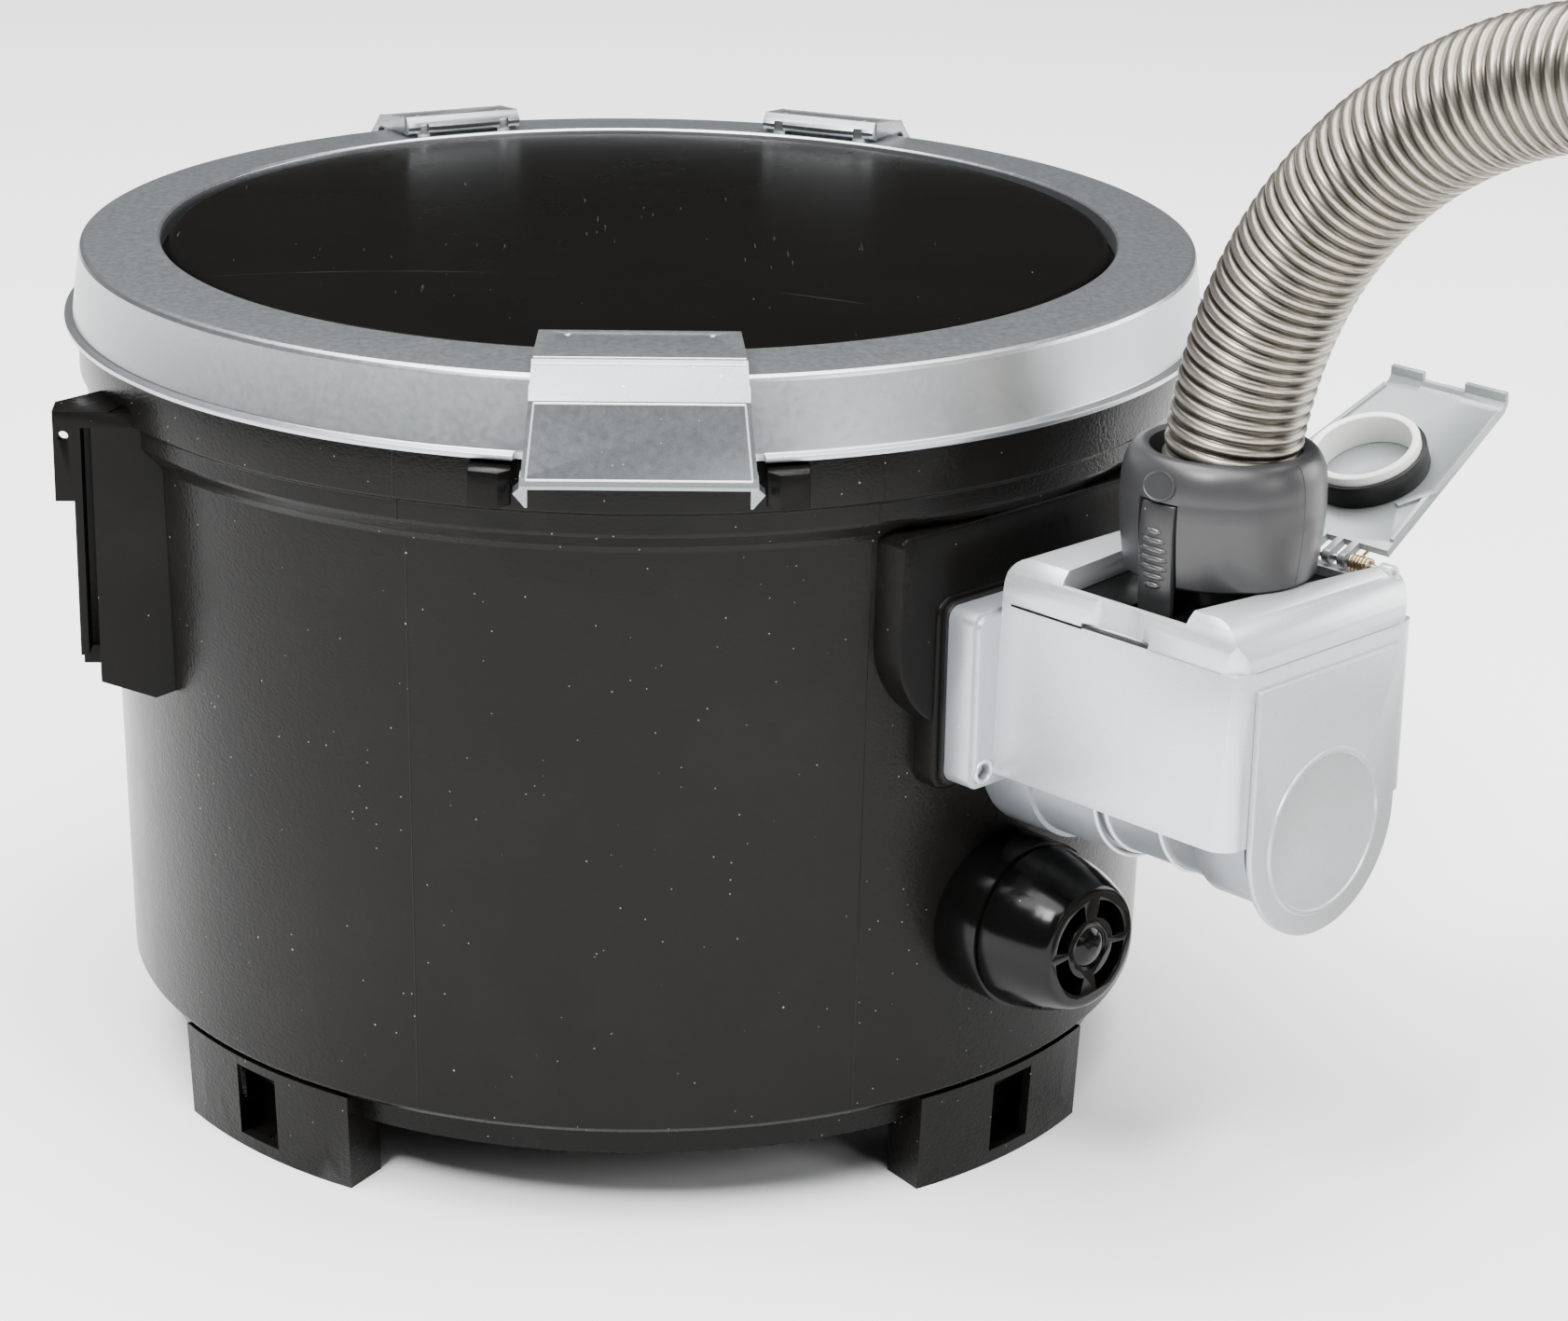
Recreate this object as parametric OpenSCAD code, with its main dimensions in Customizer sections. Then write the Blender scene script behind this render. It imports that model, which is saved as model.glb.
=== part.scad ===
// Suction canister: a round drum with a clamped lid, a side inlet box with a spring flap,
// a relief valve and a plugged-in hose. Millimetres, +Z up, origin on the floor at the drum's axis,
// front latch toward -Y.

/* [Drum] */
// Height of the clamp ring's outer top edge above the floor
ring_top_z = 257.5; // [250:0.5:265]
// Outer radius of the drum just below its rim bands
drum_top_r = 164; // [162:0.5:165]
// Outer radius of the drum at its bottom corner
drum_bottom_r = 160.8; // [158:0.1:162]
// Thickness of the drum's wall
drum_wall = 3; // [2:0.5:4]
// Height of the drum's bottom face above the floor
drum_floor_z = 30; // [28:0.5:32]
// Azimuth of the first foot, from the front toward the right
foot_az = 45; // [40:1:50]
// Radius of the circle of foot screws
foot_bolt_r = 151.5; // [150:0.5:153]
// Diameter of a foot screw hole
foot_hole_d = 5.5; // [4:0.5:6.5]

/* [Lid and latches] */
// Radius of the opening in the clamp ring
ring_inner_r = 145.7; // [144:0.1:147]
// Radius of the clamp ring's lower flange
ring_flange_r = 175; // [174:0.5:178]
// Azimuth of the two back latches, left and right of the front
back_latch_az = 156; // [150:1:160]
// Half the width of the front latch at its hinge
front_latch_half = 27.1; // [24:0.1:28]
// Half the width of a back latch at its hinge
back_latch_half = 20; // [18:0.5:22]
// Distance of a latch hinge pin from the drum's axis
latch_pin_r = 149.6; // [149.4:0.1:150]
// Diameter of a latch hinge pin
latch_pin_d = 3; // [2:0.5:3.2]

/* [Inlet box] */
// Azimuth that the inlet box points to
inlet_az = 42.5; // [40:0.5:45]
// Sideways offset of the inlet box from the drum's axis
inlet_offset = 12; // [8:1:14]
// Height of the inlet pipe's axis
pipe_z = 136.5; // [134:0.5:138]
// Half the width of the inlet box
box_half = 38; // [37:0.5:39]
// Distance from the drum's axis to the box's front face
box_front = 263; // [260:1:265]
// Height of the seam between the housing and its cap
seam_z = 188.5; // [187:0.5:190]
// Height of the cap's top
cap_top_z = 201.5; // [200:0.5:203]
// Distance from the drum's axis to the hose socket, along the box
socket_u = 222.2; // [219:0.2:225]
// Opening angle of the flap at rest, from closed
flap_open = 156; // [120:1:160]

/* [Hose] */
// Outer diameter of the hose
hose_d = 38; // [36:1:40]
// Centre of the storage coil on the floor
coil_centre = [565, -140]; // [-600:1:600]
// Radius of the coil's outer bottom turn
coil_outer_turn = 239; // [235:1:245]
// Distance from one bottom turn to the next
coil_pitch = 38.5; // [38:0.5:42]

/* [Relief valve] */
// Azimuth of the valve
valve_az = 41; // [38:1:44]
// Height of the valve's axis
valve_z = 84.5; // [80:0.5:90]

/* [Hidden] */
$fn = 96;

// Shared sizes
latch_az = [0, -back_latch_az, back_latch_az];
latch_half = [front_latch_half, back_latch_half, back_latch_half];
latch_pin_z = ring_top_z + 4.9;
latch_pin_slack = 0.06;
ear_x = 0.72;
ear_t = 2.4;
ear_post = 1.3;
drum_inner_top = drum_top_r - drum_wall;
drum_inner_bottom = drum_bottom_r - drum_wall;
rim_neck_z = 245.7;
foot_half_angle = 13.3;
inner_pipe_r = 20.5;
hinge_y = box_half - 2;
hinge_z = cap_top_z - 1.5;
flap_pin_d = 2;
cuff_bottom_z = cap_top_z - 1;
socket_r = 17.6;
socket_y = 1.4;
nozzle_r = 17.2;
coil_turns = [for (i = [0:2]) coil_outer_turn - i * coil_pitch];
coil_top_turn = coil_outer_turn - 1.5 * coil_pitch;
hose_r = hose_d / 2;

// Local -Y points outward at azimuth a, local +X is tangential
module at_az(a) { rotate([0, 0, a]) children(); }

// Local +Z points outward at azimuth a and height z
module radial(a, z) { translate([0, 0, z]) rotate([0, 0, a]) rotate([90, 0, 0]) children(); }

// Local +X runs out along the inlet box, local +Y across it
module inlet_frame() { rotate([0, 0, inlet_az - 90]) translate([0, inlet_offset, 0]) children(); }

// A plate of a 2D shape drawn in (across, up), from distance u0 to u1 along the inlet box
module across(u0, u1) { translate([u0, 0, 0]) rotate([90, 0, 90]) linear_extrude(u1 - u0) children(); }

// A bar of a 2D shape drawn in (radius, height), centred on the local X axis
module profile_x(w) { rotate([90, 0, -90]) linear_extrude(w, center = true) children(); }

module box_at(x0, x1, y0, y1, z0, z1) { translate([x0, y0, z0]) cube([x1 - x0, y1 - y0, z1 - z0]); }

module pipe_x(u0, u1, r, z = pipe_z) {
    translate([u0, 0, z]) rotate([0, 90, 0]) cylinder(r = r, h = u1 - u0);
}

module tube(r_out, r_in, h) {
    difference() {
        cylinder(r = r_out, h = h);
        translate([0, 0, -1]) cylinder(r = r_in, h = h + 2);
    }
}

// A rectangle with round corners, drawn from discs and bars so that it stays exact
module round_rect(x0, x1, y0, y1, r) {
    translate([x0 + r, y0]) square([x1 - x0 - 2 * r, y1 - y0]);
    translate([x0, y0 + r]) square([x1 - x0, y1 - y0 - 2 * r]);
    for (x = [x0 + r, x1 - r], y = [y0 + r, y1 - r]) translate([x, y]) circle(r = r);
}

// ---------------------------------------------------------------- drum

module drum_outline() {
    polygon([[0, drum_floor_z], [drum_bottom_r - 2, drum_floor_z], [drum_bottom_r, drum_floor_z + 2],
             [drum_top_r, 207], [drum_top_r + 1, 209], [168.4, 212.6], [169, 213.8], [169, 219],
             [171, 220.2], [171, 234.3], [166.4, 234.3], [166.4, rim_neck_z], [0, rim_neck_z]]);
}

module drum_hollow() {
    polygon([[0, drum_floor_z + 3], [drum_inner_bottom, drum_floor_z + 3], [drum_inner_top, 207],
             [163.2, 236], [163.2, 260], [0, 260]]);
}

// Raised pads on the drum's wall that carry the inlet box
module inlet_pads() {
    inlet_frame() {
        across(125, 165) {
            round_rect(-65, 65, 148, 209, 30);
            translate([-65, 180]) square([130, 29]);
        }
        across(125, 166) round_rect(-51, 51, 131, 189, 6);
    }
}

module drum_shell() {
    color("#3c3a38") {
        difference() {
            union() {
                rotate_extrude() drum_outline();
                inlet_pads();
                for (i = [0:2]) at_az(latch_az[i]) lug_pair(latch_half[i] + 7.1);
            }
            rotate_extrude() drum_hollow();
            inlet_frame() {
                pipe_x(120, 175, 27);
                base_screw_holes(1.5, 157, 175);
            }
            radial(valve_az, valve_z) translate([0, 0, 140]) cylinder(r = 19, h = 40);
            radial(180, 190) translate([0, 0, 140]) cylinder(r = 26, h = 40);
            for (a = [0:90:270]) at_az(a) translate([0, -144, 0]) cylinder(r = 1.7, h = 45);
        }
        for (a = [0:90:270]) at_az(a) translate([0, -144, drum_floor_z + 2.9]) tube(5, 1.7, 9);
    }
}

module lug_pair(x0) {
    for (s = [0, 1]) mirror([s, 0, 0]) translate([x0, 0, 0]) lug();
}

// A lug that one hook of a latch sits beside
module lug() {
    translate([0, 0, 223.8])
        linear_extrude(10)
            polygon([[0, -165], [0, -175.5], [3.5, -179], [11.6, -176.5], [11.6, -165]]);
}

module base_ring() {
    color("#33312f") {
        difference() {
            union() {
                rotate_extrude()
                    polygon([[149.2, 20.3], [152.4, 20.3], [153.2, drum_floor_z], [149.2, drum_floor_z]]);
                for (k = [0:3]) at_az(foot_az + 90 * k) foot();
                for (a = [0:90:270]) at_az(a) box_at(-8, 8, -150.5, -136, 26, drum_floor_z);
            }
            for (k = [0:3])
                at_az(foot_az + 90 * k) translate([0, -foot_bolt_r, -1]) cylinder(d = foot_hole_d, h = 10);
            for (a = [0:90:270]) at_az(a) translate([0, -144, 20]) cylinder(d = 4.2, h = 20);
        }
    }
}

// A foot is an arc of wall with a pocket behind it and a window in front
module foot() {
    difference() {
        sector(foot_half_angle) polygon([[144, 0], [159, 0], [160.4, drum_floor_z], [144, drum_floor_z]]);
        sector(foot_half_angle - 1.2) polygon([[147.4, 3], [156, 3], [157.4, 27], [147.4, 27]]);
        sector(3.1) polygon([[150, 4.2], [165, 4.2], [165, 27.2], [150, 27.2]]);
    }
}

// A body of revolution over plus and minus half an angle about the local -Y direction
module sector(half) { rotate([0, 0, -90 - half]) rotate_extrude(angle = 2 * half) children(); }

module base_screws() {
    color("#8a8a88")
        for (a = [0:90:270])
            at_az(a) translate([0, -144, 23.9]) {
                cylinder(r = 3.8, h = 2.1);
                cylinder(r = 1.68, h = 16);
            }
}

// ---------------------------------------------------------------- hanging brackets

// The left bracket, drawn in its place: a block with a hooked fin beside it
module bracket_body() {
    difference() {
        union() {
            translate([0, 0, 219.5]) linear_extrude(5)
                polygon([[-168.3, -90], [-152, -90], [-146.5, -78], [-140, -60], [-150, -60],
                         [-168.7, -80]]);
            translate([0, -74, 0]) rotate([90, 0, 0]) linear_extrude(16)
                polygon([[-157.4, 224], [-138, 224], [-132, 141], [-141.4, 137.3], [-157.2, 142.2]]);
            box_at(-168.3, -160.4, -90, -86.5, 197.5, 222);
            box_at(-162.8, -160.4, -90, -82, 150.5, 222);
            box_at(-162.8, -150, -84, -80, 146, 152);
            box_at(-161, -156.5, -83, -79, 146, 222);
        }
        translate([-165.4, -80, 217]) rotate([90, 0, 0]) cylinder(r = 1.5, h = 20);
        rotate_extrude() drum_outline();
    }
}

module hang_bracket_left() { color("#2e2c2a") bracket_body(); }
module hang_bracket_right() { color("#2e2c2a") rotate([0, 0, 180]) bracket_body(); }

// ---------------------------------------------------------------- lid, ring, seal

module lid_panel() {
    color("#1e1c1a")
        rotate_extrude()
            polygon([[0, 255], [140.4, 255], [140.4, 249.5], [167.6, 249.5], [167.6, 252.4], [143.4, 252.4],
                     [143.4, 256.2], [142.8, 257.4], [141.6, 258], [0, 258]]);
}

module lid_seal() {
    color("#151515") rotate_extrude() polygon([[163.6, 246], [166.2, 246], [166.2, 249.5], [163.6, 249.5]]);
}

module clamp_ring() {
    color("#9aa3a6") {
        difference() {
            union() {
                rotate_extrude()
                    polygon([[ring_inner_r, 252.6], [ring_inner_r, 258.4], [ring_inner_r + 0.7, 259.1],
                             [168.4, 257.9], [169.4, 257.3], [169.9, 256.2], [172.5, 236.9],
                             [ring_flange_r, 236.5], [ring_flange_r, 235], [170.8, 235],
                             [170.5, 236.8], [168.3, 254.8], [167.2, 255.7], [147.7, 256.9], [147.7, 252.6]]);
                for (i = [0:2]) at_az(latch_az[i]) ears(latch_half[i]);
            }
            for (i = [0:2])
                at_az(latch_az[i]) {
                    latch_axis() cylinder(d = latch_pin_d, h = 80, center = true);
                    box_at(-latch_half[i] - 6.6, latch_half[i] + 6.6, -180, -172.6, 230, 240);
                }
        }
    }
}

module latch_axis() { translate([0, -latch_pin_r, latch_pin_z]) rotate([0, 90, 0]) children(); }

// Two ears on the ring that hold a latch's pin
module ears(half) {
    for (s = [-1, 1])
        translate([s * half * ear_x, 0, 0]) {
            latch_axis() cylinder(r = 2.1, h = ear_t, center = true);
            box_at(-ear_t / 2, ear_t / 2, -latch_pin_r - ear_post, -latch_pin_r + ear_post, 257, latch_pin_z);
        }
}

module latch_pins() {
    color("#b8b8b4")
        for (i = [0:2])
            at_az(latch_az[i])
                latch_axis() cylinder(d = latch_pin_d, h = 2 * latch_half[i] - 3, center = true);
}

// ---------------------------------------------------------------- latches

module latch_outline() {
    polygon([[latch_pin_r, 265.5], [170, 262.9], [178.8, 253.8], [183.6, 231.6], [183.2, 230.6],
             [176, 230.6], [176, 237.4], [173.6, 237.8], [171.4, 257.8], [169.6, 259.1], [latch_pin_r, 260]]);
}

module latch_cavity() {
    polygon([[154, 250], [154, 262.6], [169, 260.6], [176.7, 252.7], [181.2, 233.2], [181.2, 220],
             [160, 220], [160, 250]]);
}

// Flat inner face of the latch, over its barrel
module latch_nose() {
    polygon([[latch_pin_r, latch_pin_z], [latch_pin_r - 3.1, latch_pin_z], [latch_pin_r - 3.1, latch_pin_z + 2],
             [latch_pin_r - 2.4, latch_pin_z + 3.1], [latch_pin_r, latch_pin_z + 3.1]]);
}

// Where an ear's post passes through the latch while it opens by 75 degrees
module ear_sweep() {
    translate([latch_pin_r, latch_pin_z])
        polygon([[ear_post + 0.35, 0], [ear_post + 0.35, -8], [-8, -8], [-8, -0.44], [0, 1.71], [1.6, 1]]);
}

// Half-width of the latch grows from the hinge to the hooks
module latch_flare(half) {
    intersection() {
        translate([0, 0, 200]) linear_extrude(80)
            polygon([[-half, -140], [half, -140], [half + 0.3, -150], [half + 2, -175], [half + 6, -185],
                     [-half - 6, -185], [-half - 2, -175], [-half - 0.3, -150]]);
        rotate([90, 0, 0]) translate([0, 0, 130]) linear_extrude(70)
            polygon([[-half - 2.3, 280], [half + 2.3, 280], [half + 2.3, 253.8], [half + 5, 228],
                     [-half - 5, 228], [-half - 2.3, 253.8]]);
    }
}

module latch(half) {
    difference() {
        union() {
            intersection() {
                profile_x(90) latch_outline();
                latch_flare(half);
            }
            latch_axis() cylinder(r = 3.1, h = 2 * half, center = true);
            profile_x(2 * half) latch_nose();
            for (s = [0, 1]) mirror([s, 0, 0]) hook(half);
        }
        intersection() {
            profile_x(90) latch_cavity();
            latch_flare(half - 2);
        }
        latch_axis() cylinder(d = latch_pin_d + 2 * latch_pin_slack, h = 2 * half - 2.4, center = true);
        for (s = [-1, 1])
            translate([s * half * ear_x, 0, 0]) {
                latch_axis() cylinder(r = 2.45, h = ear_t + 0.7, center = true);
                profile_x(ear_t + 0.7) ear_sweep();
                translate([0, -153.4, 264.7]) cylinder(r1 = 0.5, r2 = 1.7, h = 0.6);
            }
    }
}

// The hooked corner at each side of the latch's lower edge
module hook(half) {
    translate([half + 2.6, 0, 0]) rotate([90, 0, 0]) translate([0, 0, 176.5]) linear_extrude(6.7)
        polygon([[0, 234], [2, 234], [2.2, 231], [3.9, 229.5], [0.6, 225.6], [0, 225.6]]);
}

module latch_front() { color("#a4acae") at_az(latch_az[0]) latch(latch_half[0]); }
module latch_back_left() { color("#a4acae") at_az(latch_az[1]) latch(latch_half[1]); }
module latch_back_right() { color("#a4acae") at_az(latch_az[2]) latch(latch_half[2]); }

// ---------------------------------------------------------------- inlet box

module gasket_outline() { round_rect(-49, 49, 133, 187.5, 4); }

module base_screw_holes(r, u0, u1) {
    for (y = [-43.2, 43.2]) translate([0, y, 0]) pipe_x(u0, u1, r, 139.4);
}

module inlet_gasket() {
    color("#141414")
        inlet_frame()
            difference() {
                across(166, 167.2) gasket_outline();
                pipe_x(160, 180, 27);
                base_screw_holes(1.5, 160, 180);
            }
}

module inlet_base() {
    color("#c9cccc")
        inlet_frame()
            difference() {
                union() {
                    across(167.2, 176.4) round_rect(-48, 48, 134, 186.5, 4);
                    across(176.4, 178) round_rect(-46.6, 46.6, 135.4, 185.1, 3.4);
                }
                pipe_x(160, 180, 27);
                base_screw_holes(1.5, 160, 180);
                base_screw_holes(2.3, 172, 180);
            }
}

module inlet_screws() {
    color("#8f8f8c")
        inlet_frame() {
            base_screw_holes(1.5, 158, 176);
            base_screw_holes(2.1, 172, 173.6);
        }
}

// The pipe through the drum's wall with its upright socket
module inlet_pipe() {
    color("#b4b9ba")
        inlet_frame()
            difference() {
                union() {
                    pipe_x(150, 180, 27);
                    pipe_x(180, 203, 25.5);
                    pipe_x(203, 240, 23.3);
                    pipe_x(240, 258, 25.5);
                    translate([socket_u, socket_y, pipe_z]) cylinder(r = 20, h = 50);
                }
                pipe_x(149, 260, inner_pipe_r);
                translate([socket_u, socket_y, pipe_z]) cylinder(r = socket_r, h = 60);
            }
}

// Turns the flow sideways inside the drum
module inlet_deflector() {
    color("#2a2826")
        inlet_frame()
            difference() {
                pipe_x(112, 153, 29.5);
                pipe_x(115, 160, 27.04);
                box_at(110, 145, 0, 40, 100, 170);
            }
}

module housing_plan(inset, r) {
    round_rect(150, box_front - inset, -40 + inset, 40 - inset, r);
}

// Section of the housing, drawn in by inset and run on past both ends by extra
module housing_section(inset, extra = 0) {
    lean = 2 / (seam_z - 138.5);
    low = box_half + 2 - inset + lean * extra;
    high = box_half - inset - lean * extra;
    polygon([[-low, 138.5 - extra], [low, 138.5 - extra], [high, seam_z + extra], [-high, seam_z + extra]]);
}

module inlet_housing() {
    color("#c9cccc")
        inlet_frame()
            difference() {
                intersection() {
                    across(178, 270) housing_section(0);
                    translate([0, 0, 130]) linear_extrude(80) housing_plan(0, 7);
                }
                intersection() {
                    across(170, 270) housing_section(2.2, 1);
                    translate([0, 0, 130]) linear_extrude(80) housing_plan(2.2, 5);
                }
                pipe_x(250, 275, 26);
            }
}

// Outline of the cap seen from the side: rounded at the back, more so at the front
module cap_side() {
    polygon(concat([[178, seam_z]],
                   [for (a = [180:-15:90]) [184 + 6 * cos(a), cap_top_z - 6 + 6 * sin(a)]],
                   [for (a = [90:-7.5:0]) [box_front - 13 + 13 * cos(a), seam_z + 13 * sin(a)]]));
}

// Outline of the cap seen along the box: bulging on the left, upright on the right
module cap_section() {
    polygon([[-38, seam_z], [-37.9, 191.5], [-37.4, 194.5], [-36.4, 197.4], [-35, 199.7],
             [-33.2, cap_top_z], [36.6, cap_top_z], [37.6, 200.8], [38, 199.6], [38, seam_z]]);
}

module cap_opening() {
    polygon([[199, -45], [241, -45], [252, 41], [190, 41]]);
}

module inlet_cap() {
    color("#c9cccc")
        inlet_frame()
            difference() {
                union() {
                    intersection() {
                        rotate([90, 0, 0]) translate([0, 0, -60]) linear_extrude(120) cap_side();
                        across(170, 270) cap_section();
                        translate([0, 0, 150]) linear_extrude(80) round_rect(150, box_front, -38, 38, 7);
                    }
                    for (u = [186, 252]) pipe_at_hinge(u, u + 4, 2.4);
                    for (u = [186, 252]) box_at(u, u + 4, hinge_y - 2.4, 38, 199, hinge_z);
                }
                box_at(185, 257, -34.5, 34.5, 180, 194.6);
                translate([0, 0, 180]) linear_extrude(14.7) round_rect(181, 259, -32, 32, 4);
                intersection() {
                    translate([0, 0, 190]) linear_extrude(30) cap_opening();
                    union() {
                        box_at(180, 260, -34.6, 33.2, 190, 220);
                        box_at(180, 260, -45, -34, 197.7, 220);
                        box_at(180, 260, 33, 45, 197.3, 220);
                    }
                }
                box_at(207, 231, -45, -36.6, 180, 190);
                translate([219.5, -64.5, 189.4]) cylinder(r = 29.1, h = 20);
                pipe_at_hinge(180, 260, flap_pin_d / 2);
            }
}

module pipe_at_hinge(u0, u1, r) { translate([0, hinge_y, 0]) pipe_x(u0, u1, r, hinge_z); }

// U-shaped plate that closes the pipe's front end
module front_plate() {
    color("#c9cccc")
        inlet_frame() {
            across(box_front, box_front + 2) {
                translate([0, 137]) circle(r = 31);
                polygon([[-31, 137], [31, 137], [31, 183.5], [-31, 183.5]]);
            }
            difference() {
                pipe_x(box_front + 2, box_front + 2.7, 24, 136);
                pipe_x(box_front, box_front + 4, 22.6, 136);
            }
            pipe_x(250, box_front, inner_pipe_r);
        }
}

// Black plate under the flap, with the socket's mouth in it
module insert_plate() {
    color("#191919")
        inlet_frame()
            difference() {
                union() {
                    box_at(185, 257, -34.4, 34.4, 188.6, 194.5);
                    translate([socket_u, socket_y, 186.6]) cylinder(r = 23, h = 3);
                }
                translate([socket_u, socket_y, 180]) cylinder(r = 20.2, h = 30);
                box_at(socket_u - 7.4, socket_u + 7.4, socket_y - 30.4, -15, 180, 200);
                for (u = [200, 245]) translate([u, 24, 191]) cylinder(r = 3.6, h = 9);
                translate([198, 12, 191]) cylinder(r = 2.2, h = 9);
                box_at(238, 243, -29, -24, 191, 200);
            }
}

module contact_pins() {
    color("#b08d4a") inlet_frame() for (u = [200, 245]) translate([u, 24, 191]) cylinder(r = 1.2, h = 3);
}

// ---------------------------------------------------------------- flap

// Places a part drawn on the closed flap where it is at rest
module flap_pose() {
    inlet_frame()
        translate([0, hinge_y, hinge_z])
            rotate([-flap_open, 0, 0])
                translate([0, -hinge_y, -hinge_z])
                    children();
}

module flap_lid() {
    color("#b9bdbd")
        flap_pose()
            difference() {
                union() {
                    difference() {
                        translate([0, 0, hinge_z - 2])
                            linear_extrude(2.3)
                                polygon([[191.2, 36], [250.6, 36], [241.4, -36], [200.4, -36]]);
                        box_at(228.6, 260, 30, 45, 190, 210);
                    }
                    for (u = [[200.4, 212], [227, 241.4]]) across(u[0], u[1]) lip_section();
                    across(212, 227)
                        polygon([[-35.9, hinge_z + 0.3], [-38.4, hinge_z - 0.3], [-40, hinge_z - 1.7],
                                 [-40.7, hinge_z - 3.3], [-39.4, hinge_z - 3.4], [-38.4, hinge_z - 2.3],
                                 [-35.9, hinge_z - 2]]);
                    translate([0, 0, hinge_z - 2.9])
                        linear_extrude(1.2) {
                            polygon([[192, 30], [193.4, 30], [201.9, -35], [200.6, -35.9]]);
                            polygon([[249.2, 26], [247.8, 26], [240, -35], [241.3, -35.9]]);
                        }
                    pipe_at_hinge(191.2, 228.6, 2.2);
                    for (u = [232.2, 237.6]) pipe_at_hinge(u, u + 2.4, 2.2);
                    for (u = [232.2, 237.6]) box_at(u, u + 2.4, 29, hinge_y, hinge_z - 2, hinge_z + 0.3);
                    translate([0, 0, hinge_z - 3])
                        linear_extrude(1.2)
                            polygon([[246, 2], [248, 3], [241, 12.6], [239.2, 11.6]]);
                }
                pipe_at_hinge(185, 258, flap_pin_d / 2 + 0.06);
            }
}

// Curved lip along the flap's free edge
module lip_section() {
    z = hinge_z + 0.3;
    polygon([[-35.9, z], [-38.6, z - 0.6], [-40.8, z - 2.4], [-41.8, z - 5.6],
             [-40.4, z - 5.8], [-39.5, z - 3.4], [-38, z - 2.4], [-35.9, z - 2.3]]);
}

module flap_seal_boot() {
    color("#161616") flap_pose() translate([222.6, 1.4, hinge_z - 9]) tube(17.6, 16.2, 7);
}

module flap_seal_ring() {
    color("#f2f2f0") flap_pose() translate([222.6, 1.4, hinge_z - 11.5]) tube(16.2, 13.8, 9.5);
}

module flap_pin() { color("#c8c8c4") inlet_frame() pipe_at_hinge(186.5, 255.5, flap_pin_d / 2); }

module flap_spring() {
    color("#b08d4a")
        inlet_frame() {
            for (i = [0:5])
                translate([241.8 + 1.15 * i, hinge_y, hinge_z])
                    rotate([0, 90, 0])
                        rotate_extrude($fn = 32) translate([2, 0]) circle(r = 0.45, $fn = 16);
            translate([241.8, hinge_y + 2.6, hinge_z])
                rotate([-66, 0, 0]) cylinder(r = 0.45, h = 9, $fn = 16);
            translate([247.5, hinge_y - 2.3, hinge_z - 2.6])
                cylinder(r = 0.45, h = 2.6, $fn = 16);
        }
}

// ---------------------------------------------------------------- hose end in the socket

module at_socket() { inlet_frame() translate([socket_u, socket_y, 0]) children(); }

module hose_nozzle() {
    color("#4a4a4c") at_socket() translate([0, 0, 162]) tube(nozzle_r, 15, cuff_bottom_z + 6.4 - 162);
}

module hose_cuff() {
    b = cuff_bottom_z + 1.2;
    color("#5a5a5c")
        at_socket()
            difference() {
                rotate_extrude()
                    polygon([[nozzle_r, b], [25.8, b], [26.6, b + 0.8], [27.9, b + 9], [28.5, b + 16],
                             [28.5, b + 21], [27.9, b + 26.5], [26.6, b + 30.6], [24.8, b + 33.4],
                             [23.2, b + 34.9], [21.9, b + 35.3], [21, b + 34.6], [21, b + 5],
                             [nozzle_r, b + 5]]);
                box_at(-6.5, 6.5, -40, -23.9, b - 5, b + 29.4);
            }
}

// Sprung tongue on the cuff that lets the hose go
module release_button() {
    b = cuff_bottom_z + 1.2;
    color("#3c3c3e")
        at_socket()
            intersection() {
                rotate_extrude()
                    polygon([[26.3, 190.2], [28.4, 190.2], [28.6, b], [29.3, b + 9], [29.3, b + 17],
                             [28.5, b + 24], [27.6, b + 28.6], [26.3, b + 28.6]]);
                box_at(-5.8, 5.8, -40, -20, 180, 250);
            }
}

// ---------------------------------------------------------------- hose

function bezier(p, t) =
    pow(1 - t, 3) * p[0] + 3 * pow(1 - t, 2) * t * p[1] + 3 * (1 - t) * t * t * p[2] + pow(t, 3) * p[3];
function unit(v) = v / norm(v);

hose_top = [250.9, -250.1, 356.5];
hose_mid = [344, -424, 193];
hose_land = [coil_centre[0], coil_centre[1] - coil_outer_turn, hose_r + 1];
over = [0.655, -0.755, 0];
down = unit([0.18, -0.11, -1]);
hose_spans = [[[160.9, -154.8, 208.6], [159.2, -150, 305], hose_top - 64 * over, hose_top],
              [hose_top, hose_top + 102 * over, hose_mid - 102 * down, hose_mid],
              [hose_mid, hose_mid + 115 * down, hose_land - [115, 0, 0], hose_land]];
span_steps = 20;
hose_line = concat([hose_spans[0][0]],
                   [for (k = [0:2], i = [1:span_steps]) bezier(hose_spans[k], i / span_steps)]);

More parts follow.
